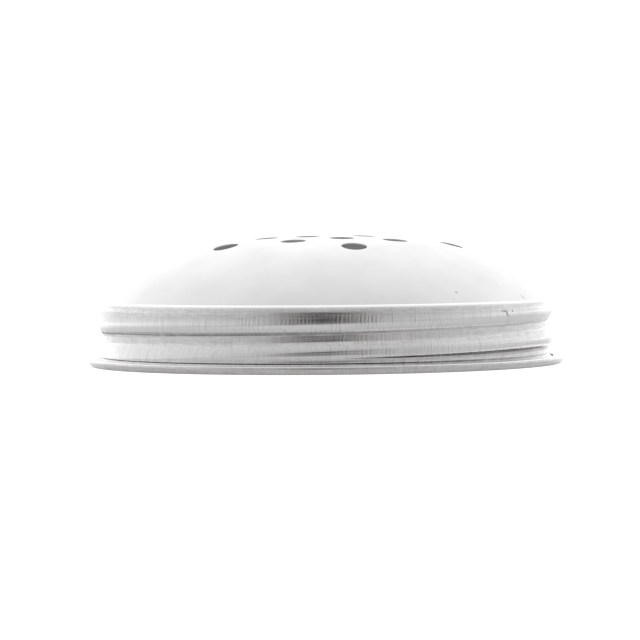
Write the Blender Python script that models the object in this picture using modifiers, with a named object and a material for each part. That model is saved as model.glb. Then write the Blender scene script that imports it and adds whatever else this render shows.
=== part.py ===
"""Flower frog lid for a jar: a screw band of rolled sheet, and a domed, perforated insert held under its lip.

Metres, +Z up. The origin is on the lid's axis at the level of the band's bottom bead. -Y is the front.
Angles are measured about the axis from the front, -Y, towards +X.
"""

import math

import bmesh
import bpy
from mathutils import Matrix, Vector

MM = 0.001

# Both pieces are pressed from the same sheet and turned with the same number of facets.
SHEET = 0.35 * MM
SEGMENTS = 60
MERGE = 0.01 * MM

# Screw band: outside faces.
SKIRT_R = 35.55 * MM
SHOULDER_Z = 10.10 * MM
SHOULDER_CORNER_R = 1.00 * MM
SHOULDER_CORNER_HEIGHT = 1.25 * MM
LIP_OPENING_R = 34.36 * MM
SKIRT_ROWS = 16

# Out-curled bead along the band's bottom edge. It is a flattened, hollow curl, widest above its middle.
BEAD_R = 37.20 * MM
BEAD_HEIGHT = 1.26 * MM
BEAD_WIDEST_Z = 0.86 * MM
BEAD_FOOT_R = 0.30 * MM
CURL_GAP = 0.25 * MM

# Rolled thread, right-handed, pressed inwards. Its groove has an upper wall, shorter over the run-in, a flat floor
# and a lower wall, longer where no turn lies below it. THREAD_Z is the top of the floor at the front, one turn
# above where the groove leaves the bead.
THREAD_PITCH = 4.233 * MM
THREAD_Z = 5.88 * MM
THREAD_DEPTH = 0.75 * MM
THREAD_UPPER_WALL = 1.36 * MM
THREAD_FLOOR = 1.20 * MM
THREAD_LOWER_WALL = 1.30 * MM
UPPER_WALL_POWER = 1.7
LOWER_WALL_POWER = 1.3
LEAST_UPPER_WALL = 0.42
THREAD_START_DEG = -405.0
THREAD_END_DEG = 280.0
NEXT_TURN_DEG = 300.0
THREAD_RUN_IN_DEG = 120.0
THREAD_RUN_OUT_DEG = 150.0

# Just above the bead the groove's start levels out, and stands this much higher than its helix. On the left,
# round WANDER_DEG, it wanders up a little too.
START_LIFT = 0.62 * MM
LIFT_FROM_DEG = -420.0
LIFT_TO_DEG = -230.0
WANDER = 0.40 * MM
WANDER_DEG = -85.0
WANDER_REACH_DEG = 85.0

# Dome: outside faces. A shallow crown arc runs into a tighter shoulder arc at CROWN_EDGE_R.
APEX_Z = 20.38 * MM
CROWN_R = 136.6 * MM
CROWN_EDGE_R = 17.35 * MM
FLANK_R = 25.61 * MM
BRIM_PLAY = 0.20 * MM
BRIM_FILLET_R = 0.35 * MM
BRIM_R = 34.85 * MM

# Stem holes: one in the middle, and rings of six, each ring turned half a step from the next.
HOLE_R = 1.925 * MM
HOLES_PER_RING = 6
HOLE_SIDES = 12
RING_RADII = (8.9 * MM, 12.1 * MM, 15.9 * MM, 20.5 * MM)
OUTER_RING_DEG = 12.2
CUTTER_LENGTH = 4.0 * MM

BAND_COLOUR = (0.62, 0.62, 0.61, 1.0)
DOME_COLOUR = (0.80, 0.80, 0.79, 1.0)


def clear_scene():
    for old in list(bpy.data.objects):
        bpy.data.objects.remove(old, do_unlink=True)


def new_collection(name):
    collection = bpy.data.collections.new(name)
    bpy.context.scene.collection.children.link(collection)
    return collection


def new_material(name, colour, roughness):
    material = bpy.data.materials.new(name)
    material.use_nodes = True
    shader = material.node_tree.nodes["Principled BSDF"]
    shader.inputs["Base Color"].default_value = colour
    shader.inputs["Metallic"].default_value = 1.0
    shader.inputs["Roughness"].default_value = roughness
    return material


def arc(centre, radius, start_deg, end_deg, steps):
    """Points (r, z) of an arc, both ends included. 0 degrees points outwards and 90 up."""
    points = []
    for i in range(steps + 1):
        angle = math.radians(start_deg + (end_deg - start_deg) * i / steps)
        points.append((centre[0] + radius * math.cos(angle), centre[1] + radius * math.sin(angle)))
    return points


def smoothstep(low, high, value):
    t = min(max((value - low) / (high - low), 0.0), 1.0)
    return t * t * (3.0 - 2.0 * t)


def turned_surface(name, profile, collection):
    """An open surface of revolution about Z, from a profile of (r, z) points listed top to bottom."""
    mesh = bpy.data.meshes.new(name)
    points = [(r, 0.0, z) for r, z in profile]
    edges = [(i, i + 1) for i in range(len(points) - 1)]
    mesh.from_pydata(points, edges, [])
    turned = bpy.data.objects.new(name, mesh)
    collection.objects.link(turned)
    screw = turned.modifiers.new("turn", "SCREW")
    screw.axis = "Z"
    screw.steps = SEGMENTS
    screw.render_steps = SEGMENTS
    screw.use_merge_vertices = True
    screw.merge_threshold = MERGE
    return turned


def add_sheet(sheet_object):
    """Gives an open surface the sheet's thickness, on the side away from its outside face."""
    solidify = sheet_object.modifiers.new("sheet", "SOLIDIFY")
    solidify.thickness = SHEET
    solidify.offset = -1.0
    solidify.use_even_offset = True


def smooth(mesh):
    mesh.shade_smooth()
    mesh.set_sharp_from_angle(angle=math.radians(50))


def apply_modifiers(source):
    """Replaces the object's mesh by its evaluated mesh."""
    evaluated = source.evaluated_get(bpy.context.evaluated_depsgraph_get())
    mesh = bpy.data.meshes.new_from_object(evaluated)
    source.modifiers.clear()
    source.data = mesh


# Screw band


def band_profile():
    """The sheet's outside face, from the lip's edge over the shoulder, down the skirt and round the bead."""
    skirt_top = SHOULDER_Z - SHOULDER_CORNER_HEIGHT
    skirt_bottom = SHEET + BEAD_FOOT_R
    tall = SHOULDER_CORNER_HEIGHT / SHOULDER_CORNER_R
    corner = arc((SKIRT_R - SHOULDER_CORNER_R, 0.0), SHOULDER_CORNER_R, 90, 0, 4)
    points = [(LIP_OPENING_R, SHOULDER_Z)]
    points += [(radius, skirt_top + height * tall) for radius, height in corner]
    for row in range(1, SKIRT_ROWS):
        points.append((SKIRT_R, skirt_top + (skirt_bottom - skirt_top) * row / SKIRT_ROWS))
    points += arc((SKIRT_R + BEAD_FOOT_R, skirt_bottom), BEAD_FOOT_R, 180, 270, 3)
    points += bead_curl()
    points.append((SKIRT_R + CURL_GAP, BEAD_HEIGHT - SHEET))
    return points


def bead_curl():
    """The curl's inner face: two quarter ellipses, which meet where the bead is widest."""
    reach = BEAD_HEIGHT / 2 - SHEET
    points = []
    for radius, height in arc((BEAD_R - BEAD_HEIGHT / 2, 0.0), reach, -90, 90, 6):
        quarter = BEAD_HEIGHT - BEAD_WIDEST_Z if height > 0.0 else BEAD_WIDEST_Z
        points.append((radius, BEAD_WIDEST_Z + (quarter - SHEET) * height / reach))
    return points


def thread_groove(above_floor, upper_wall, lower_wall):
    """The groove's depth, from 0 to 1, at this height above the top of its floor."""
    if above_floor >= 0.0:
        return max(0.0, 1.0 - above_floor / upper_wall) ** UPPER_WALL_POWER
    return max(0.0, 1.0 - max(0.0, -above_floor - THREAD_FLOOR) / lower_wall) ** LOWER_WALL_POWER


def thread_run_in(along):
    """How far the groove has reached its full depth, from 0 to 1, this many degrees along the thread."""
    return smoothstep(THREAD_START_DEG, THREAD_START_DEG + THREAD_RUN_IN_DEG, along)


def thread_depth(angle_deg, z):
    """How far the rolled thread presses the skirt in at this angle from the front and this height."""
    depth = 0.0
    wander = WANDER * (1.0 - smoothstep(0.0, WANDER_REACH_DEG, abs(angle_deg - WANDER_DEG)))
    for turn in (-2, -1, 0, 1):
        along = angle_deg + 360.0 * turn
        run_in = thread_run_in(along)
        upper_wall = THREAD_UPPER_WALL * max(run_in ** 2, LEAST_UPPER_WALL)
        lower_wall = THREAD_LOWER_WALL * (2.0 - thread_run_in(along - NEXT_TURN_DEG))
        run_out = 1.0 - smoothstep(THREAD_END_DEG - THREAD_RUN_OUT_DEG, THREAD_END_DEG, along)
        lift = START_LIFT * (1.0 - smoothstep(LIFT_FROM_DEG, LIFT_TO_DEG, along))
        above_floor = z - THREAD_Z - THREAD_PITCH * along / 360.0 - lift - wander
        groove = thread_groove(above_floor, upper_wall, lower_wall)
        depth = max(depth, THREAD_DEPTH * groove * run_in * run_out)
    above_bead = smoothstep(BEAD_HEIGHT / 2, BEAD_HEIGHT * 1.2, z)
    below_shoulder = 1.0 - smoothstep(SHOULDER_Z - SHOULDER_CORNER_HEIGHT * 1.2, SHOULDER_Z, z)
    return depth * above_bead * below_shoulder


def roll_thread(mesh):
    """Presses the helical thread into the skirt's vertices."""
    for vertex in mesh.vertices:
        x, y, z = vertex.co
        radius = math.hypot(x, y)
        if radius > SKIRT_R + CURL_GAP / 2:
            continue
        pressed = radius - thread_depth(math.degrees(math.atan2(x, -y)), z)
        vertex.co.x = x * pressed / radius
        vertex.co.y = y * pressed / radius


def make_band(collection):
    band = turned_surface("screw_band", band_profile(), collection)
    apply_modifiers(band)
    roll_thread(band.data)
    add_sheet(band)
    smooth(band.data)
    band.data.materials.append(new_material("band_metal", BAND_COLOUR, 0.35))
    return band


# Domed insert


def crown_centre_z():
    return APEX_Z - CROWN_R


def crown_edge_deg():
    """The slope where the crown arc runs into the flank arc."""
    return math.degrees(math.asin(CROWN_EDGE_R / CROWN_R))


def flank_centre():
    """The flank arc's centre, on the line from the crown's centre through the edge they share."""
    edge = math.radians(crown_edge_deg())
    reach = CROWN_R - FLANK_R
    return (reach * math.sin(edge), crown_centre_z() + reach * math.cos(edge))


def dome_profile():
    """The dome's outside face, from the middle hole down to the edge of the brim under the lip."""
    start = 90 - math.degrees(math.asin(HOLE_R / CROWN_R))
    edge = 90 - crown_edge_deg()
    flank = flank_centre()
    brim_z = SHOULDER_Z - SHEET - BRIM_PLAY
    fillet_z = brim_z + BRIM_FILLET_R
    reach = FLANK_R + BRIM_FILLET_R
    rise = math.asin((fillet_z - flank[1]) / reach)
    fillet = (flank[0] + reach * math.cos(rise), fillet_z)
    foot = math.degrees(rise)
    points = arc((0.0, crown_centre_z()), CROWN_R, start, edge, 4)
    points += arc(flank, FLANK_R, edge, foot, 8)[1:]
    points += arc(fillet, BRIM_FILLET_R, foot + 180, 270, 2)[1:]
    points.append((BRIM_R, brim_z))
    return points


def dome_point(radius, angle_deg):
    """The point on the dome's outside face at this distance from the axis, and its outward normal."""
    if radius < CROWN_EDGE_R:
        slope = math.asin(radius / CROWN_R)
        z = crown_centre_z() + CROWN_R * math.cos(slope)
    else:
        flank = flank_centre()
        slope = math.asin((radius - flank[0]) / FLANK_R)
        z = flank[1] + FLANK_R * math.cos(slope)
    angle = math.radians(angle_deg)
    outwards = Vector((math.sin(angle), -math.cos(angle), 0.0))
    point = outwards * radius + Vector((0.0, 0.0, z))
    normal = outwards * math.sin(slope) + Vector((0.0, 0.0, math.cos(slope)))
    return point, normal


def hole_places():
    """(distance from the axis, angle from the front) of every stem hole but the middle one."""
    step = 360.0 / HOLES_PER_RING
    places = []
    for ring, radius in enumerate(reversed(RING_RADII)):
        offset = OUTER_RING_DEG + ring % 2 * step / 2
        places += [(radius, offset + step * i) for i in range(HOLES_PER_RING)]
    return places


def make_hole_cutter(collection):
    """One mesh of separate punches, each along the dome's normal at its hole."""
    shapes = bmesh.new()
    for radius, angle_deg in hole_places():
        point, normal = dome_point(radius, angle_deg)
        turn = normal.to_track_quat("Z", "Y").to_matrix().to_4x4()
        bmesh.ops.create_cone(
            shapes,
            cap_ends=True,
            segments=HOLE_SIDES,
            radius1=HOLE_R,
            radius2=HOLE_R,
            depth=CUTTER_LENGTH,
            matrix=Matrix.Translation(point) @ turn,
        )
    mesh = bpy.data.meshes.new("hole_punches")
    shapes.to_mesh(mesh)
    shapes.free()
    cutter = bpy.data.objects.new("hole_punches", mesh)
    collection.objects.link(cutter)
    cutter.hide_render = True
    cutter.display_type = "WIRE"
    return cutter


def make_dome(collection, cutters):
    dome = turned_surface("frog_dome", dome_profile(), collection)
    add_sheet(dome)
    punch = dome.modifiers.new("punch", "BOOLEAN")
    punch.operation = "DIFFERENCE"
    punch.solver = "EXACT"
    punch.object = make_hole_cutter(cutters)
    smooth(dome.data)
    dome.data.materials.append(new_material("dome_metal", DOME_COLOUR, 0.25))
    return dome


def main():
    clear_scene()
    parts = new_collection("flower_frog")
    cutters = new_collection("cutters")
    make_band(parts)
    make_dome(parts, cutters)


main()
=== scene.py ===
import math

import bpy
from mathutils import Euler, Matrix, Vector, geometry, noise


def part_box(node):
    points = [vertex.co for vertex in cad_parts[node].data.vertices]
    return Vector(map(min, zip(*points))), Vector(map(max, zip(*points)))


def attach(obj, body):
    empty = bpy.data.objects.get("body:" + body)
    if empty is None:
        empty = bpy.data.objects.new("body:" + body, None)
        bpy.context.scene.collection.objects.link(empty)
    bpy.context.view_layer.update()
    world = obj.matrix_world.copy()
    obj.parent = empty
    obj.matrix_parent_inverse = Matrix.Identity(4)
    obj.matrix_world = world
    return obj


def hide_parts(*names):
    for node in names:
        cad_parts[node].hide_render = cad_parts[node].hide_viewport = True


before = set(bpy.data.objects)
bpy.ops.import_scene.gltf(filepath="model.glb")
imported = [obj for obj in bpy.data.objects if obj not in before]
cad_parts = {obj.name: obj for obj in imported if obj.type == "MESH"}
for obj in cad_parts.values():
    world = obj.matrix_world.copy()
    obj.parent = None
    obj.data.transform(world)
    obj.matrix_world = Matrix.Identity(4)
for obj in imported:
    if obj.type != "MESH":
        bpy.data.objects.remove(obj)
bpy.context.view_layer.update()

band_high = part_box("screw_band")[1]
dome_low, dome_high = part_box("frog_dome")

MM = 0.001
SHEET = 0.20 * MM
CUT_EDGE = 0.05 * MM

# Band, outside faces. The bead's and the shoulder's places come from the frame.
BEAD_R = band_high.x - 0.03 * MM
SHOULDER_Z = band_high.z
SKIRT_R = 35.55 * MM
SHOULDER_CORNER_R = 1.00 * MM
SHOULDER_CORNER_HEIGHT = 1.25 * MM
LIP_OPENING_R = 34.36 * MM
LIP_FLAT = 0.12 * MM
BEAD_HEIGHT = 1.26 * MM
BEAD_WIDEST_Z = 1.02 * MM
BEAD_FOOT_R = 0.30 * MM
CURL_GAP = 0.12 * MM
CURL_END_DROP = 0.05 * MM
BAND_SEGMENTS = 450
SKIRT_ROWS = 60

# The crease where the skirt turns out into the bead.
CREASE_Z = 1.44 * MM
CREASE_HALF_HEIGHT = 0.18 * MM
CREASE_DEPTH = 0.12 * MM

# Rolled thread: an upper wall, shorter over the run-in, a flat floor and a lower wall, longer where no turn
# lies below it. THREAD_Z is the top of the floor at the front, one turn above where the groove leaves the
# bead.
THREAD_PITCH = 4.233 * MM
THREAD_Z = 5.88 * MM
THREAD_DEPTH = 0.75 * MM
THREAD_UPPER_WALL = 1.36 * MM
THREAD_FLOOR = 1.20 * MM
THREAD_LOWER_WALL = 1.30 * MM
UPPER_WALL_POWER = 1.7
LOWER_WALL_POWER = 1.3
LEAST_UPPER_WALL = 0.42
THREAD_START_DEG = -405.0
THREAD_END_DEG = 280.0
NEXT_TURN_DEG = 300.0
THREAD_RUN_IN_DEG = 120.0
THREAD_RUN_OUT_DEG = 150.0

# The thread fades out over this many heights of the bead and of the shoulder's corner.
THREAD_FADE = 1.2

# The ridge that the thread rolls push up. Its place and its width are shares of the upper wall.
THREAD_RAISE = 0.03 * MM
RIDGE_PLACE = 1.15
RIDGE_WIDTH = 0.28

# Just above the bead the groove's start levels out, and stands this much higher than its helix. On the left,
# round WANDER_DEG, it wanders up a little too.
START_LIFT = 0.62 * MM
LIFT_FROM_DEG = -420.0
LIFT_TO_DEG = -230.0
LIFT_BELOW_Z = 4.0 * MM
WANDER = 0.40 * MM
WANDER_DEG = -85.0
WANDER_REACH_DEG = 85.0

# Dome, outside faces. The apex and the brim come from the frame.
APEX_Z = dome_high.z
BRIM_R = dome_high.x
BRIM_Z = dome_low.z + SHEET
CROWN_R = 136.6 * MM
CROWN_EDGE_R = 17.35 * MM
FLANK_R = 25.61 * MM
BRIM_FILLET_R = 0.35 * MM

# Stem holes, punched from above, so that the sheet dishes in at each rim. A triangle of the crown is in a
# hole when its middle is nearer to the hole's centre than the radius times HOLE_MARGIN.
HOLE_R = 1.925 * MM
HOLES_PER_RING = 6
RING_RADII = (8.9 * MM, 12.1 * MM, 15.9 * MM, 20.5 * MM)
OUTER_RING_DEG = 12.2
HOLE_SIDES = 48
HOLE_MARGIN = 1.004
HOLE_DISH = 0.09 * MM
HOLE_DISH_WIDTH = 0.55 * MM
HOLE_LOOPS = (0.0, 0.07 * MM, 0.16 * MM, 0.30 * MM, 0.52 * MM)

# Dome mesh: triangles between the holes, and quads from JOIN_R outwards.
JOIN_R = 25.5 * MM
CROWN_SPACING = 0.75 * MM
KEEP_OFF_HOLES = CROWN_SPACING * 0.55
MERGE_DISTANCE = 1e-7
DOME_SEGMENTS = 360
FLANK_ROWS = 34

# Slight unevenness of the two sheets: its greatest depth, and the size of its waves.
BAND_UNEVEN = 0.035 * MM
BAND_UNEVEN_SIZE = 9 * MM
DOME_UNEVEN = 0.03 * MM
DOME_UNEVEN_SIZE = 12 * MM

# Small dents in the dome: angle from the front, height, radius and depth.
DENTS = (
    (-22.5, 13.3 * MM, 1.0 * MM, 0.050 * MM),
    (-38.0, 14.0 * MM, 0.8 * MM, 0.035 * MM),
    (-3.5, 12.4 * MM, 0.9 * MM, 0.035 * MM),
)

# Chatter marks round the band, left by the thread rolls. They lean, and are densest round one angle from the
# front: the marks are real, but their extra dark lines there are painted reflection of the dark room.
# CHATTER_FADE is two heights, in millimetres, and what is left of them at each.
CHATTER_MARKS = 380.0
CHATTER_WOBBLE = 8.0
CHATTER_LEAN = -0.8
CHATTER_REFLECTION_DEG = 17.0
CHATTER_FADE = (8.2, 8.9, 1.0, 0.15)

# Small brown marks on the band and the dome: angle from the front, height and size.
RUST_MARKS = (
    (47.9, 8.70 * MM, 0.22 * MM),
    (48.6, 8.66 * MM, 0.26 * MM),
    (49.3, 8.60 * MM, 0.32 * MM),
    (49.5, 8.30 * MM, 0.28 * MM),
    (49.8, 8.02 * MM, 0.22 * MM),
    (51.8, 8.70 * MM, 0.22 * MM),
)
DOME_SPECKS = (
    (63.0, 10.75 * MM, 0.26 * MM),
    (63.7, 10.50 * MM, 0.34 * MM),
    (36.5, 11.60 * MM, 0.26 * MM),
)

# Layers of colour over the bare metal: how strong each is at most, and its colour.
BAND_BARE = (0.77, 0.77, 0.772, 1.0)
STAINS = (0.5, (0.71, 0.69, 0.675, 1.0))
STREAKS = (0.22, (0.51, 0.50, 0.50, 1.0))
DRAW_MARKS = (0.12, (0.50, 0.492, 0.49, 1.0))
SCUFFS = (0.36, (0.45, 0.435, 0.425, 1.0))
CHATTER_LINES = (0.42, (0.40, 0.385, 0.38, 1.0))
WORN_BEAD = (1.0, (0.50, 0.485, 0.475, 1.0))
# Painted shade: dark colour in the thread's corner, on its upper wall and in the crease above the bead.
PAINTED_SHADE = (0.85, (0.24, 0.225, 0.215, 1.0))
# Painted highlight: light colour on the shoulder's top and on the bead's upper half, where the light falls.
PAINTED_HIGHLIGHT = (1.0, (0.97, 0.97, 0.965, 1.0))
RUST = (0.75, (0.30, 0.20, 0.14, 1.0))
DOME_BARE = (0.845, 0.845, 0.845, 1.0)
DOME_CLOUDS = (1.0, (0.765, 0.765, 0.76, 1.0))
SPECKS = (0.6, (0.34, 0.29, 0.25, 1.0))

# Lines of painted shade along the thread: dark colour in the groove's corner and on stretches of its
# downward-facing upper wall, where shade falls. Each has a place and its stretches. A place is the middle,
# in millimetres above the top of the floor, the half-widths where the painted shade is full and where it
# ends, and its strength. A stretch is two angles along the thread and the strengths at them.
CORNER_SHADE = (0.04, 0.04, 0.25, 1.0)
CORNER_STRETCHES = (
    (-260.0, -150.0, 0.10, 1.0),
    (0.0, 35.0, 1.0, 0.22),
    (THREAD_START_DEG, THREAD_START_DEG + 90.0, 0.0, 1.0),
    (THREAD_END_DEG - 120.0, THREAD_END_DEG, 1.0, 0.0),
)
RUN_IN_WALL_SHADE = (-0.06, 0.20, 0.42, 1.0)
RUN_IN_WALL_STRETCHES = ((-370.0, -290.0, 0.05, 0.60), (-290.0, -265.0, 1.0, 0.0))
LEFT_WALL_SHADE = (0.24, 0.10, 0.26, 0.7)
LEFT_WALL_STRETCHES = ((-80.0, -40.0, 0.0, 1.0), (-8.0, 14.0, 1.0, 0.0))

# Painted shade in the crease: its place, in millimetres above the bottom, and a stretch in degrees from the
# front.
CREASE_SHADE = (CREASE_Z / MM, 0.03, 0.16, 0.34)
CREASE_STRETCH = (8.0, 24.0, 1.0, 0.2)

# Wear and painted highlight, in millimetres: where the bead's wear starts and is full outside the skirt,
# where the painted highlight on the tops starts and is full below the shoulder's top and above the bead's
# widest height, and the scuffed middle of the groove's floor, a place like those of the painted shade.
WORN_OUTSIDE_SKIRT = (0.15, 0.5)
HIGHLIGHT_BELOW_TOP = (0.55, 0.15)
HIGHLIGHT_ABOVE_WIDEST = (0.06, 0.14)
SCUFFED_FLOOR = (-0.85, 0.75, 1.15, 1.0)

# Depth of the fine relief of each metal.
BAND_BUMP = 0.014 * MM
DOME_BUMP = 0.0015 * MM

# Spots: how far their edges are moved to make them ragged, in millimetres, and their full part.
RAGGED = 0.35
SPOT_FULL = 0.4

# Room: its level at the sides, and what is added behind the object and at the right. Near the horizon it is
# brighter behind the object: ROOM_LOW by height and ROOM_LOW_BEHIND by depth, two places and their values.
ROOM_LEVEL = 0.87
ROOM_BEHIND = 0.34
ROOM_RIGHT = -0.03
ROOM_LOW = (0.05, 0.25, 1.0, 0.0)
ROOM_LOW_BEHIND = (0.55, 1.0, 0.12, 0.48)

# The room's dark patch, round the camera: its direction, half-width and half-height in degrees, the share of
# these where it ends, what is left of the room's level in its middle, and its tint.
DARK_DEG = -2.0
DARK_WIDTH_DEG = 40.0
DARK_HEIGHT_DEG = 28.0
DARK_END = 0.91
DARK_LEVEL = 0.05
DARK_TINT = (1.0, 0.90, 0.86, 1.0)

# What the camera sees of the room, and the floor.
BACKDROP_LEVEL = 1.2
FLOOR_SIZE = 3.0
FLOOR_COLOUR = (0.55, 0.55, 0.55, 1.0)
FLOOR_ROUGHNESS = 0.9
FLOOR_GLOW = 0.3
FLOOR_GLOW_SEEN = 0.6
MIRROR_ROUGHNESS = 0.10
MIRROR_IOR = 1.6

# Camera.
CAMERA_DISTANCE = 471 * MM
CAMERA_HEIGHT = 21.4 * MM
CAMERA_SIDE = -0.785 * MM
CAMERA_PITCH_DEG = 1.768
CAMERA_ROLL_DEG = 0.50
CAMERA_LENS = 168.75


def smoothstep(low, high, value):
    t = min(max((value - low) / (high - low), 0.0), 1.0)
    return t * t * (3.0 - 2.0 * t)


def arc(centre, radius, start_deg, end_deg, steps):
    """Points (r, z) of an arc, both ends included. 0 degrees points outwards and 90 up."""
    points = []
    for i in range(steps + 1):
        angle = math.radians(start_deg + (end_deg - start_deg) * i / steps)
        points.append((centre[0] + radius * math.cos(angle), centre[1] + radius * math.sin(angle)))
    return points


def around(radius, angle_deg, z):
    """A point at this distance from the axis and angle from the front, -Y, towards +X."""
    angle = math.radians(angle_deg)
    return Vector((radius * math.sin(angle), -radius * math.cos(angle), z))


def ring_quads(first_loop, second_loop):
    """Quads between two closed loops of vertex numbers, facing out when the first loop is higher."""
    count = len(first_loop)
    quads = []
    for i in range(count):
        j = (i + 1) % count
        quads.append((first_loop[i], second_loop[i], second_loop[j], first_loop[j]))
    return quads


def sheet_object(name, points, faces):
    """A shown piece of sheet metal: an open surface with the sheet's thickness on its inside."""
    mesh = bpy.data.meshes.new(name)
    mesh.from_pydata(points, [], faces)
    mesh.update()
    piece = bpy.data.objects.new(name, mesh)
    bpy.context.scene.collection.objects.link(piece)
    solidify = piece.modifiers.new("sheet", "SOLIDIFY")
    solidify.thickness = SHEET
    solidify.offset = -1.0
    solidify.use_even_offset = True
    edge = piece.modifiers.new("cut_edge", "BEVEL")
    edge.width = CUT_EDGE
    edge.segments = 2
    edge.limit_method = "ANGLE"
    edge.angle_limit = math.radians(60)
    mesh.shade_smooth()
    return piece


# Band


def band_profile():
    """The sheet's outside face, from the lip's edge over the shoulder, down the skirt and round the bead."""
    corner_z = SHOULDER_Z - SHOULDER_CORNER_HEIGHT
    tall = SHOULDER_CORNER_HEIGHT / SHOULDER_CORNER_R
    skirt_bottom = SHEET + BEAD_FOOT_R
    points = [(LIP_OPENING_R, SHOULDER_Z), (LIP_OPENING_R + LIP_FLAT, SHOULDER_Z)]
    corner = arc((SKIRT_R - SHOULDER_CORNER_R, 0.0), SHOULDER_CORNER_R, 90, 0, 12)
    points += [(radius, corner_z + height * tall) for radius, height in corner]
    rows = [corner_z + (skirt_bottom - corner_z) * row / SKIRT_ROWS for row in range(1, SKIRT_ROWS)]
    rows += [CREASE_Z + CREASE_HALF_HEIGHT * step / 2 for step in (-2, -1, 0, 1, 2)]
    points += [(SKIRT_R, z) for z in sorted(rows, reverse=True)]
    points += arc((SKIRT_R + BEAD_FOOT_R, skirt_bottom), BEAD_FOOT_R, 180, 270, 4)
    points += bead_curl()
    points.append((SKIRT_R + CURL_GAP, BEAD_HEIGHT - SHEET - CURL_END_DROP))
    return points


def bead_curl():
    """The curl's inner face: two quarter ellipses, which meet where the bead is widest."""
    reach = BEAD_HEIGHT / 2 - SHEET
    points = []
    for i in range(-6, 7):
        turn = math.radians(15 * i)
        height = BEAD_WIDEST_Z if i < 0 else BEAD_HEIGHT - BEAD_WIDEST_Z
        z = BEAD_WIDEST_Z + (height - SHEET) * math.sin(turn)
        points.append((BEAD_R - BEAD_HEIGHT / 2 + reach * math.cos(turn), z))
    return points


def thread_groove(above_floor, upper_wall, lower_wall):
    """The groove's depth, from 0 to 1, at this height above the top of its floor."""
    if above_floor >= 0.0:
        return max(0.0, 1.0 - above_floor / upper_wall) ** UPPER_WALL_POWER
    return max(0.0, 1.0 - max(0.0, -above_floor - THREAD_FLOOR) / lower_wall) ** LOWER_WALL_POWER


def raised_metal(above_floor):
    """The metal that the roll pushes up along the groove's upper edge, from 0 to 1."""
    walls = above_floor / THREAD_UPPER_WALL
    return math.exp(-(((walls - RIDGE_PLACE) / RIDGE_WIDTH) ** 2))


def thread_run_in(along):
    """How far the groove has reached its full depth, from 0 to 1, this many degrees along the thread."""
    return smoothstep(THREAD_START_DEG, THREAD_START_DEG + THREAD_RUN_IN_DEG, along)


def thread_depth(angle_deg, z):
    """How far the rolled thread presses the skirt in at this angle from the front and this height."""
    groove = 0.0
    raised = 0.0
    wander = WANDER * (1.0 - smoothstep(0.0, WANDER_REACH_DEG, abs(angle_deg - WANDER_DEG)))
    for turn in (-2, -1, 0, 1):
        along = angle_deg + 360.0 * turn
        run_in = thread_run_in(along)
        upper_wall = THREAD_UPPER_WALL * max(run_in ** 2, LEAST_UPPER_WALL)
        lower_wall = THREAD_LOWER_WALL * (2.0 - thread_run_in(along - NEXT_TURN_DEG))
        run_out = 1.0 - smoothstep(THREAD_END_DEG - THREAD_RUN_OUT_DEG, THREAD_END_DEG, along)
        lift = START_LIFT * (1.0 - smoothstep(LIFT_FROM_DEG, LIFT_TO_DEG, along))
        above_floor = z - THREAD_Z - THREAD_PITCH * along / 360.0 - lift - wander
        groove = max(groove, thread_groove(above_floor, upper_wall, lower_wall) * run_in * run_out)
        raised = max(raised, raised_metal(above_floor) * run_in * run_out)
    depth = THREAD_DEPTH * groove - THREAD_RAISE * raised * (1.0 - groove)
    above_bead = smoothstep(BEAD_HEIGHT / 2, BEAD_HEIGHT * THREAD_FADE, z)
    corner_z = SHOULDER_Z - SHOULDER_CORNER_HEIGHT * THREAD_FADE
    below_shoulder = 1.0 - smoothstep(corner_z, SHOULDER_Z, z)
    return depth * above_bead * below_shoulder


def band_point(radius, angle_deg, z):
    """A point of the band, with the thread and the slight unevenness of rolled sheet."""
    if radius < SKIRT_R + CURL_GAP / 2:
        crease = max(0.0, 1.0 - abs(z - CREASE_Z) / CREASE_HALF_HEIGHT)
        radius -= thread_depth(angle_deg, z) + CREASE_DEPTH * crease
    at = around(radius, angle_deg, z)
    uneven = noise.noise(at / BAND_UNEVEN_SIZE) * BAND_UNEVEN
    return at + around(uneven, angle_deg, 0.0)


def make_band():
    points = []
    faces = []
    loops = []
    for radius, z in band_profile():
        start = len(points)
        for i in range(BAND_SEGMENTS):
            points.append(band_point(radius, 360.0 * i / BAND_SEGMENTS, z))
        loops.append(range(start, start + BAND_SEGMENTS))
    for upper, lower in zip(loops, loops[1:]):
        faces += ring_quads(upper, lower)
    band = sheet_object("band_sheet", points, faces)
    band.data.materials.append(band_material())
    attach(band, "screw_band")
    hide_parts("screw_band")
    return band


# Dome


def crown_centre_z():
    return APEX_Z - CROWN_R


def flank_centre():
    """The flank arc's centre, on the line from the crown's centre through the edge they share."""
    edge = math.asin(CROWN_EDGE_R / CROWN_R)
    reach = CROWN_R - FLANK_R
    return (reach * math.sin(edge), crown_centre_z() + reach * math.cos(edge))


def flank_radius(z):
    """The dome's outside radius at this height, below the crown."""
    flank = flank_centre()
    return flank[0] + math.sqrt(FLANK_R**2 - (z - flank[1]) ** 2)


def dome_surface(radius, angle_deg):
    """The point on the dome's outside face at this distance from the axis, and its outward normal."""
    if radius < CROWN_EDGE_R:
        slope = math.asin(radius / CROWN_R)
        z = crown_centre_z() + CROWN_R * math.cos(slope)
    else:
        flank = flank_centre()
        slope = math.asin((radius - flank[0]) / FLANK_R)
        z = flank[1] + FLANK_R * math.cos(slope)
    return around(radius, angle_deg, z), around(math.sin(slope), angle_deg, math.cos(slope))


def hole_places():
    """(distance from the axis, angle from the front) of every stem hole."""
    step = 360.0 / HOLES_PER_RING
    places = [(0.0, 0.0)]
    for ring, radius in enumerate(reversed(RING_RADII)):
        offset = OUTER_RING_DEG + ring % 2 * step / 2
        places += [(radius, offset + step * i) for i in range(HOLES_PER_RING)]
    return places


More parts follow.
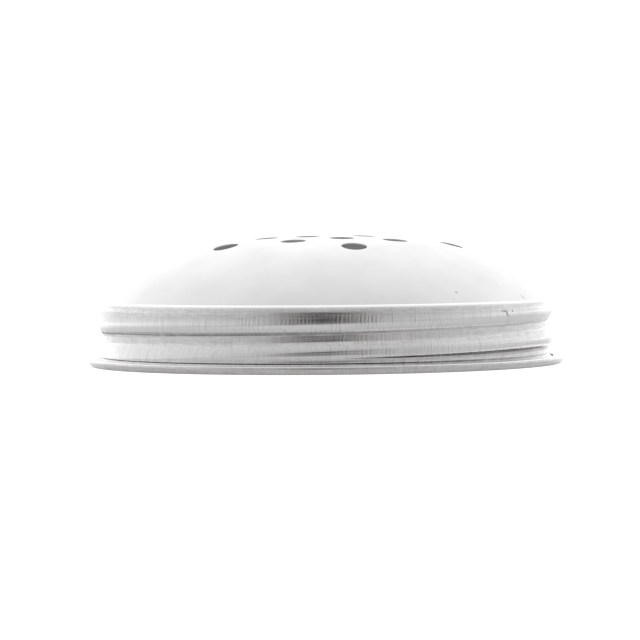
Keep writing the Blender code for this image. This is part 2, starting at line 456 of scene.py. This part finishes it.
def hole_loop(place, widen):
    """The plan of a circle round a hole, in the sheet's plane there."""
    centre, normal = dome_surface(*place)
    along = normal.cross(around(1.0, place[1], 0.0)).normalized() if place[0] else Vector((1, 0, 0))
    across = normal.cross(along)
    loop = []
    for i in range(HOLE_SIDES):
        turn = math.tau * i / HOLE_SIDES
        at = centre + (HOLE_R + widen) * (along * math.cos(turn) + across * math.sin(turn))
        loop.append(Vector((at.x, at.y)))
    return loop


def dome_sink(at):
    """How far the dents and the slight unevenness press the dome in at this place."""
    depth = noise.noise(at / DOME_UNEVEN_SIZE) * DOME_UNEVEN
    for angle_deg, z, radius, deepest in DENTS:
        place = around(flank_radius(z), angle_deg, z)
        depth += deepest * math.exp(-(((at - place).length / radius) ** 2) * 2.0)
    return depth


def pressed_dome_point(plan, hole_centres):
    """A plan point lifted onto the dome, with the holes' dished rims, the dents and slight unevenness."""
    radius = math.hypot(plan[0], plan[1])
    angle_deg = math.degrees(math.atan2(plan[0], -plan[1]))
    at, normal = dome_surface(radius, angle_deg)
    nearest = min((at - centre).length for centre in hole_centres)
    rim = max(0.0, 1.0 - (nearest - HOLE_R) / HOLE_DISH_WIDTH)
    sink = HOLE_DISH * min(rim, 1.0) ** 2 + dome_sink(at)
    return at - normal * sink


def crown_plan(places):
    """Plan triangles between the holes, inside JOIN_R, as points and triangles of point numbers."""
    plan = [around(JOIN_R, 360.0 * i / DOME_SEGMENTS, 0.0).to_2d() for i in range(DOME_SEGMENTS)]
    edges = [(i, (i + 1) % DOME_SEGMENTS) for i in range(DOME_SEGMENTS)]
    for place in places:
        for widen in HOLE_LOOPS:
            start = len(plan)
            plan += hole_loop(place, widen)
            edges += [(start + i, start + (i + 1) % HOLE_SIDES) for i in range(HOLE_SIDES)]
    plan += points_between_holes([around(*place, 0.0).to_2d() for place in places])
    all_triangles = 0
    made = geometry.delaunay_2d_cdt(plan, edges, [], all_triangles, MERGE_DISTANCE)
    points, triangles = made[0], made[2]
    hole_centres = [dome_surface(*place)[0] for place in places]
    kept = []
    for triangle in triangles:
        middle = sum((points[i] for i in triangle), Vector((0.0, 0.0))) / 3
        lifted = dome_surface(middle.length, math.degrees(math.atan2(middle.x, -middle.y)))[0]
        if min((lifted - centre).length for centre in hole_centres) > HOLE_R * HOLE_MARGIN:
            kept.append(tuple(triangle))
    return points, kept


def points_between_holes(centres):
    """Plan points on rings inside JOIN_R, clear of the loops round the hole centres."""
    keep_off = HOLE_R + HOLE_LOOPS[-1] + KEEP_OFF_HOLES
    rings = round(JOIN_R / CROWN_SPACING)
    points = []
    for ring in range(rings):
        radius = JOIN_R * ring / rings
        count = max(1, round(math.tau * radius / CROWN_SPACING))
        for i in range(count):
            at = around(radius, 360.0 * (i + ring % 2 / 2) / count, 0.0).to_2d()
            if min((at - centre).length for centre in centres) > keep_off:
                points.append(at)
    return points


def flank_profile():
    """(r, z) on the dome's outside face from just outside JOIN_R down to the edge of the brim."""
    flank = flank_centre()
    start = 90 - math.degrees(math.asin((JOIN_R - flank[0]) / FLANK_R))
    fillet_z = BRIM_Z + BRIM_FILLET_R
    reach = FLANK_R + BRIM_FILLET_R
    rise = math.asin((fillet_z - flank[1]) / reach)
    fillet = (flank[0] + reach * math.cos(rise), fillet_z)
    foot = math.degrees(rise)
    points = arc(flank, FLANK_R, start, foot, FLANK_ROWS)[1:]
    points += arc(fillet, BRIM_FILLET_R, foot + 180, 270, 6)[1:]
    points.append((BRIM_R, BRIM_Z))
    return points


def make_dome():
    places = hole_places()
    hole_centres = [dome_surface(*place)[0] for place in places]
    plan, faces = crown_plan(places)
    used = sorted({i for face in faces for i in face})
    number = {old: new for new, old in enumerate(used)}
    points = [pressed_dome_point(plan[i], hole_centres) for i in used]
    faces = [tuple(number[i] for i in face) for face in faces]
    outer = [i for i in used if plan[i].length > JOIN_R - CROWN_SPACING / 2]
    join = []
    for i in range(DOME_SEGMENTS):
        place = around(JOIN_R, 360.0 * i / DOME_SEGMENTS, 0.0).to_2d()
        join.append(number[min(outer, key=lambda k: (plan[k] - place).length)])
    upper = join
    for radius, z in flank_profile():
        start = len(points)
        for i in range(DOME_SEGMENTS):
            at = around(radius, 360.0 * i / DOME_SEGMENTS, z)
            outwards = around(1.0, 360.0 * i / DOME_SEGMENTS, 0.0)
            points.append(at - outwards * dome_sink(at))
        lower = range(start, start + DOME_SEGMENTS)
        faces += ring_quads(upper, lower)
        upper = lower
    dome = sheet_object("dome_sheet", points, faces)
    dome.data.materials.append(dome_material())
    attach(dome, "frog_dome")
    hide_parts("frog_dome")
    return dome


# Materials


class Nodes:
    """Adds nodes to one material, linking each input that is given a socket and setting the others."""

    def __init__(self, tree):
        self.tree = tree

    def add(self, kind, inputs=None, **settings):
        made = self.tree.nodes.new(kind)
        for key, value in settings.items():
            setattr(made, key, value)
        for key, value in (inputs or {}).items():
            self.put(made.inputs[key], value)
        return made

    def put(self, socket, value):
        if isinstance(value, bpy.types.NodeSocket):
            self.tree.links.new(value, socket)
        else:
            socket.default_value = value

    def math(self, operation, first, second=0.0, third=0.0):
        made = self.add("ShaderNodeMath", {0: first, 1: second, 2: third}, operation=operation)
        return made.outputs[0]

    def vector(self, operation, first, second=None, scale=None):
        made = self.add("ShaderNodeVectorMath", {0: first}, operation=operation)
        if second is not None:
            self.put(made.inputs[1], second)
        if scale is not None:
            self.put(made.inputs["Scale"], scale)
        return made.outputs["Value" if operation in ("DISTANCE", "DOT_PRODUCT", "LENGTH") else "Vector"]

    def noise(self, at, scale, detail=2.0, roughness=0.5):
        made = self.add(
            "ShaderNodeTexNoise",
            {"Vector": at, "Scale": scale, "Detail": detail, "Roughness": roughness},
        )
        return made.outputs["Fac"]

    def ramp(self, value, low, high, to_low=0.0, to_high=1.0):
        made = self.add(
            "ShaderNodeMapRange",
            {"Value": value, "From Min": low, "From Max": high, "To Min": to_low, "To Max": to_high},
            interpolation_type="SMOOTHSTEP",
        )
        return made.outputs["Result"]

    def ramp_degrees(self, angle, low_deg, high_deg, to_low, to_high):
        return self.ramp(angle, math.radians(low_deg), math.radians(high_deg), to_low, to_high)

    def near(self, value, middle, full, end, most):
        """A band round the middle: most within full of it, and down to 0 at end."""
        aside = self.math("ABSOLUTE", self.math("SUBTRACT", value, middle))
        return self.ramp(aside, full, end, most, 0.0)

    def stretched_noise(self, at, stretch, detail=2.0, roughness=0.5):
        """Noise that is long in the directions where stretch is small."""
        return self.noise(self.vector("MULTIPLY", at, stretch), 1.0, detail, roughness)

    def product(self, *values):
        result = values[0]
        for value in values[1:]:
            result = self.math("MULTIPLY", result, value)
        return result

    def layers(self, bare, *layers):
        """The bare colour under layers, each a mask with its strength and colour."""
        colour = bare
        for mask, (most, over) in layers:
            colour = self.mix(self.product(mask, most), colour, over)
        return colour

    def mix(self, factor, first, second):
        made = self.add("ShaderNodeMix", data_type="RGBA")
        self.put(made.inputs[0], factor)
        self.put(made.inputs[6], first)
        self.put(made.inputs[7], second)
        return made.outputs[2]


def metal(name):
    """A new metal material: its node helper, its shader and its coordinates in millimetres."""
    material = bpy.data.materials.new(name)
    material.use_nodes = True
    nodes = Nodes(material.node_tree)
    shader = material.node_tree.nodes["Principled BSDF"]
    shader.inputs["Metallic"].default_value = 1.0
    place = nodes.add("ShaderNodeTexCoord").outputs["Object"]
    millimetres = nodes.vector("SCALE", place, scale=1000.0)
    return material, nodes, shader, millimetres


def thread_place(nodes, angle, z):
    """Sockets for the height above the nearest groove's floor top, and for the angle along the thread."""
    pitch = THREAD_PITCH / MM
    started = nodes.ramp_degrees(angle, LIFT_FROM_DEG + 360, LIFT_TO_DEG + 360, 1.0, 0.0)
    low = nodes.math("LESS_THAN", z, LIFT_BELOW_Z / MM)
    lift = nodes.product(started, low, START_LIFT / MM)
    wander = nodes.near(angle, math.radians(WANDER_DEG), 0.0, math.radians(WANDER_REACH_DEG), WANDER / MM)
    lift = nodes.math("ADD", lift, wander)
    height = nodes.math("SUBTRACT", nodes.math("SUBTRACT", z, lift), THREAD_Z / MM)
    turned = nodes.math("DIVIDE", angle, math.tau)
    turns = nodes.math("SUBTRACT", nodes.math("DIVIDE", height, pitch), turned)
    below = (THREAD_FLOOR + THREAD_LOWER_WALL) / THREAD_PITCH
    turn = nodes.math("FLOOR", nodes.math("ADD", turns, below))
    above = nodes.math("MULTIPLY", nodes.math("SUBTRACT", turns, turn), pitch)
    along = nodes.math("MULTIPLY_ADD", turn, math.tau, angle)
    return above, along


def spots(nodes, at, places):
    """A mask of small ragged spots, each at (angle from the front, height, size, distance out)."""
    settings = {"Vector": at, "Scale": 3.0, "Detail": 2.0}
    ragged = nodes.add("ShaderNodeTexNoise", settings).outputs["Color"]
    moved = nodes.vector("ADD", at, nodes.vector("SCALE", ragged, scale=RAGGED))
    mask = None
    for angle_deg, z, size, radius in places:
        place = around(radius, angle_deg, z) / MM + Vector((RAGGED / 2, RAGGED / 2, RAGGED / 2))
        away = nodes.vector("DISTANCE", moved, tuple(place))
        spot = nodes.ramp(away, size * SPOT_FULL / MM, size / MM, 1.0, 0.0)
        mask = spot if mask is None else nodes.math("MAXIMUM", mask, spot)
    return mask


def painted_shade_line(nodes, above, along, place, stretches):
    """A line of painted shade along the thread, at this place and on these stretches."""
    strengths = [nodes.ramp_degrees(along, *stretch) for stretch in stretches]
    return nodes.product(nodes.near(above, *place), *strengths)


def band_painted_shade(nodes, at, angle, z, out, above, along):
    """Painted shade in the thread's corner, on two stretches of its upper wall, and in the crease above the
    bead.
    """
    patchy = nodes.ramp(nodes.stretched_noise(at, (0.6, 0.6, 0.6), 3.0), 0.2, 0.6, 0.6, 1.0)
    corner = painted_shade_line(nodes, above, along, CORNER_SHADE, CORNER_STRETCHES)
    run_in_wall = painted_shade_line(nodes, above, along, RUN_IN_WALL_SHADE, RUN_IN_WALL_STRETCHES)
    left_wall = painted_shade_line(nodes, above, along, LEFT_WALL_SHADE, LEFT_WALL_STRETCHES)
    on_skirt = nodes.math("LESS_THAN", out, SKIRT_R / MM + 0.1)
    stretch = nodes.ramp_degrees(angle, *CREASE_STRETCH)
    painted_shade = nodes.product(nodes.near(z, *CREASE_SHADE), stretch, on_skirt)
    for line in (corner, run_in_wall, left_wall):
        painted_shade = nodes.math("MAXIMUM", painted_shade, line)
    return nodes.product(painted_shade, patchy)


def chatter_marks(nodes, at, angle, z):
    """Masks of the chatter's fine dark lines, and of the ripple that they lie on."""
    wobble = nodes.stretched_noise(at, (0.9, 0.9, 0.2))
    phase = nodes.math("MULTIPLY_ADD", angle, CHATTER_MARKS, nodes.product(wobble, CHATTER_WOBBLE))
    phase = nodes.math("MULTIPLY_ADD", z, CHATTER_LEAN, phase)
    wave = nodes.math("MULTIPLY_ADD", nodes.math("SINE", phase), 0.5, 0.5)
    groups = nodes.stretched_noise(at, (0.34, 0.34, 0.22))
    # More marks round this angle: their dark lines there are painted reflection, on top of the real marks.
    toward_reflection = nodes.math("COSINE", nodes.math("SUBTRACT", angle, math.radians(CHATTER_REFLECTION_DEG)))
    groups = nodes.math("ADD", groups, nodes.ramp(toward_reflection, 0.90, 1.0, 0.0, 0.14))
    marked = nodes.product(nodes.ramp(groups, 0.48, 0.62, 0.12, 1.0), nodes.ramp(z, *CHATTER_FADE))
    uneven = nodes.stretched_noise(at, (1.6, 1.6, 0.15))
    lines = nodes.product(nodes.ramp(wave, 0.72, 1.0), nodes.ramp(uneven, 0.42, 0.62), marked)
    ripple = nodes.product(wave, marked, nodes.ramp(uneven, 0.3, 0.6, 0.2, 1.0))
    return lines, ripple


def bead_wear_and_highlight(nodes, at, z, out):
    """Masks of the bead's dull blotches, and of the painted highlight on the tops of the bead and the
    shoulder.
    """
    on_bead = nodes.ramp(out, *[SKIRT_R / MM + outside for outside in WORN_OUTSIDE_SKIRT])
    blotches = nodes.ramp(nodes.stretched_noise(at, (0.5, 0.5, 2.0), 4.0, 0.6), 0.3, 0.7)
    worn = nodes.product(on_bead, nodes.math("MULTIPLY_ADD", blotches, 0.40, 0.10))
    shoulder = nodes.ramp(z, *[SHOULDER_Z / MM - below for below in HIGHLIGHT_BELOW_TOP])
    bead_top = nodes.ramp(z, *[BEAD_WIDEST_Z / MM + above for above in HIGHLIGHT_ABOVE_WIDEST])
    painted_highlight = nodes.math("MAXIMUM", shoulder, nodes.product(bead_top, on_bead))
    return worn, painted_highlight


def band_material():
    material, nodes, shader, at = metal("band_metal_look")
    split = nodes.add("ShaderNodeSeparateXYZ", {0: at})
    x, y, z = split.outputs[0], split.outputs[1], split.outputs[2]
    angle = nodes.math("ARCTAN2", x, nodes.math("MULTIPLY", y, -1.0))
    out = nodes.vector("LENGTH", nodes.vector("MULTIPLY", at, (1.0, 1.0, 0.0)))
    above, along = thread_place(nodes, angle, z)
    painted_shade = band_painted_shade(nodes, at, angle, z, out, above, along)
    rust = spots(nodes, at, [(*mark, SKIRT_R) for mark in RUST_MARKS])
    lines, ripple = chatter_marks(nodes, at, angle, z)
    worn, painted_highlight = bead_wear_and_highlight(nodes, at, z, out)
    draw_marks = nodes.stretched_noise(at, (0.10, 0.10, 4.0), 4.0, 0.6)
    streaks = nodes.stretched_noise(at, (3.0, 3.0, 0.16), 3.0)
    scuffs = nodes.ramp(nodes.stretched_noise(at, (0.5, 0.5, 6.0), 4.0, 0.65), 0.38, 0.62)
    in_floor = nodes.near(above, *SCUFFED_FLOOR)

    height = nodes.math("MULTIPLY_ADD", draw_marks, 0.20, ripple)
    height = nodes.math("ADD", height, streaks)
    bump = nodes.add("ShaderNodeBump", {"Strength": 1.0, "Distance": BAND_BUMP, "Height": height})
    colour = nodes.layers(
        BAND_BARE,
        (nodes.ramp(nodes.noise(at, 0.16, 3.0, 0.6), 0.48, 0.75), STAINS),
        (nodes.ramp(streaks, 0.40, 0.66), STREAKS),
        (nodes.ramp(draw_marks, 0.35, 0.7), DRAW_MARKS),
        (nodes.product(scuffs, in_floor), SCUFFS),
        (lines, CHATTER_LINES),
        (worn, WORN_BEAD),
        # painted shade in the thread's corner, on its upper wall and in the crease
        (painted_shade, PAINTED_SHADE),
        # painted highlight on the shoulder's top and on the bead's upper half
        (painted_highlight, PAINTED_HIGHLIGHT),
        (rust, RUST),
    )
    rough = nodes.ramp(draw_marks, 0.25, 0.75, 0.13, 0.22)
    rough = nodes.math("MULTIPLY_ADD", nodes.math("MAXIMUM", painted_shade, rust), 0.25, rough)
    nodes.put(shader.inputs["Base Color"], colour)
    nodes.put(shader.inputs["Roughness"], rough)
    nodes.put(shader.inputs["Normal"], bump.outputs[0])
    return material


def dome_material():
    material, nodes, shader, at = metal("dome_metal_look")
    rings = nodes.stretched_noise(at, (0.05, 0.05, 7.0), 3.0)
    grain = nodes.noise(at, 5.0, 2.0)
    height = nodes.math("MULTIPLY_ADD", grain, 0.4, rings)
    bump = nodes.add("ShaderNodeBump", {"Strength": 1.0, "Distance": DOME_BUMP, "Height": height})
    cloud = nodes.noise(at, 0.12, 3.0, 0.55)
    specks = spots(nodes, at, [(*speck, flank_radius(speck[1])) for speck in DOME_SPECKS])
    clouded = nodes.ramp(cloud, 0.1, 0.95)
    colour = nodes.layers(DOME_BARE, (clouded, DOME_CLOUDS), (specks, SPECKS))
    nodes.put(shader.inputs["Base Color"], colour)
    nodes.put(shader.inputs["Roughness"], nodes.ramp(cloud, 0.1, 0.95, 0.17, 0.31))
    nodes.put(shader.inputs["Normal"], bump.outputs[0])
    return material


# Studio


def make_world():
    """A white surround, brighter behind the object, with the dark of the room round the camera."""
    world = bpy.data.worlds.new("studio")
    bpy.context.scene.world = world
    world.use_nodes = True
    world.node_tree.nodes.clear()
    nodes = Nodes(world.node_tree)
    towards = nodes.add("ShaderNodeTexCoord").outputs["Generated"]
    split = nodes.add("ShaderNodeSeparateXYZ", {0: towards})
    x, y, z = split.outputs[0], split.outputs[1], split.outputs[2]
    level = nodes.math("MULTIPLY_ADD", x, ROOM_RIGHT, ROOM_LEVEL)
    level = nodes.math("MULTIPLY_ADD", y, ROOM_BEHIND, level)
    azimuth = nodes.math("ARCTAN2", x, nodes.math("MULTIPLY", y, -1.0))
    aside = nodes.math("SUBTRACT", azimuth, math.radians(DARK_DEG))
    aside = nodes.math("DIVIDE", aside, math.radians(DARK_WIDTH_DEG))
    above = nodes.math("DIVIDE", nodes.math("ARCSINE", z), math.radians(DARK_HEIGHT_DEG))
    spread = nodes.math("ADD", nodes.math("POWER", aside, 2.0), nodes.math("POWER", above, 2.0))
    dark = nodes.ramp(nodes.math("SQRT", spread), 0.0, DARK_END, DARK_LEVEL, 1.0)
    low_behind = nodes.product(nodes.ramp(y, *ROOM_LOW_BEHIND), nodes.ramp(z, *ROOM_LOW))
    level = nodes.product(level, nodes.math("ADD", low_behind, 1.0), dark)
    seen = nodes.add("ShaderNodeLightPath").outputs["Is Camera Ray"]
    level = nodes.math("MAXIMUM", level, nodes.product(seen, BACKDROP_LEVEL))
    tint = nodes.mix(dark, DARK_TINT, (1.0, 1.0, 1.0, 1.0))
    background = nodes.add("ShaderNodeBackground", {"Color": tint, "Strength": level})
    output = nodes.add("ShaderNodeOutputWorld")
    nodes.put(output.inputs["Surface"], background.outputs[0])


def make_floor():
    """A white floor, clear from below. At a grazing angle it mirrors the room, though not for the camera."""
    bpy.ops.mesh.primitive_plane_add(size=FLOOR_SIZE)
    floor = bpy.context.object
    floor.name = "floor"
    material = bpy.data.materials.new("floor_white")
    material.use_nodes = True
    nodes = Nodes(material.node_tree)
    matt = material.node_tree.nodes["Principled BSDF"]
    matt.inputs["Base Color"].default_value = FLOOR_COLOUR
    matt.inputs["Roughness"].default_value = FLOOR_ROUGHNESS
    matt.inputs["Specular IOR Level"].default_value = 0.0
    matt.inputs["Emission Color"].default_value = (1.0, 1.0, 1.0, 1.0)
    seen = nodes.add("ShaderNodeLightPath").outputs["Is Camera Ray"]
    place = nodes.add("ShaderNodeNewGeometry").outputs["Position"]
    open_floor = nodes.math("GREATER_THAN", nodes.vector("LENGTH", place), SKIRT_R)
    shown = nodes.math("MULTIPLY", seen, open_floor)
    glow = nodes.math("MULTIPLY_ADD", shown, FLOOR_GLOW_SEEN, FLOOR_GLOW)
    nodes.put(matt.inputs["Emission Strength"], glow)
    mirror = nodes.add("ShaderNodeBsdfGlossy", {"Roughness": MIRROR_ROUGHNESS}).outputs[0]
    grazing = nodes.add("ShaderNodeFresnel", {"IOR": MIRROR_IOR}).outputs[0]
    mirrored = nodes.math("MULTIPLY", grazing, nodes.math("SUBTRACT", 1.0, seen))
    above = nodes.add("ShaderNodeMixShader", {0: mirrored, 1: matt.outputs[0], 2: mirror}).outputs[0]
    under = nodes.add("ShaderNodeNewGeometry").outputs["Backfacing"]
    clear = nodes.add("ShaderNodeBsdfTransparent").outputs[0]
    mixed = nodes.add("ShaderNodeMixShader", {0: under, 1: above, 2: clear}).outputs[0]
    nodes.put(material.node_tree.nodes["Material Output"].inputs["Surface"], mixed)
    floor.data.materials.append(material)


def make_camera():
    data = bpy.data.cameras.new("camera")
    camera = bpy.data.objects.new("camera", data)
    bpy.context.scene.collection.objects.link(camera)
    data.lens = CAMERA_LENS
    data.clip_start = 0.01
    camera.location = (CAMERA_SIDE, -CAMERA_DISTANCE, CAMERA_HEIGHT)
    pitch = math.radians(90 - CAMERA_PITCH_DEG)
    camera.rotation_euler = Euler((pitch, math.radians(CAMERA_ROLL_DEG), 0.0))
    bpy.context.scene.camera = camera


make_camera()
make_world()
make_floor()
make_band()
make_dome()
bpy.context.scene.view_settings.view_transform = "Standard"
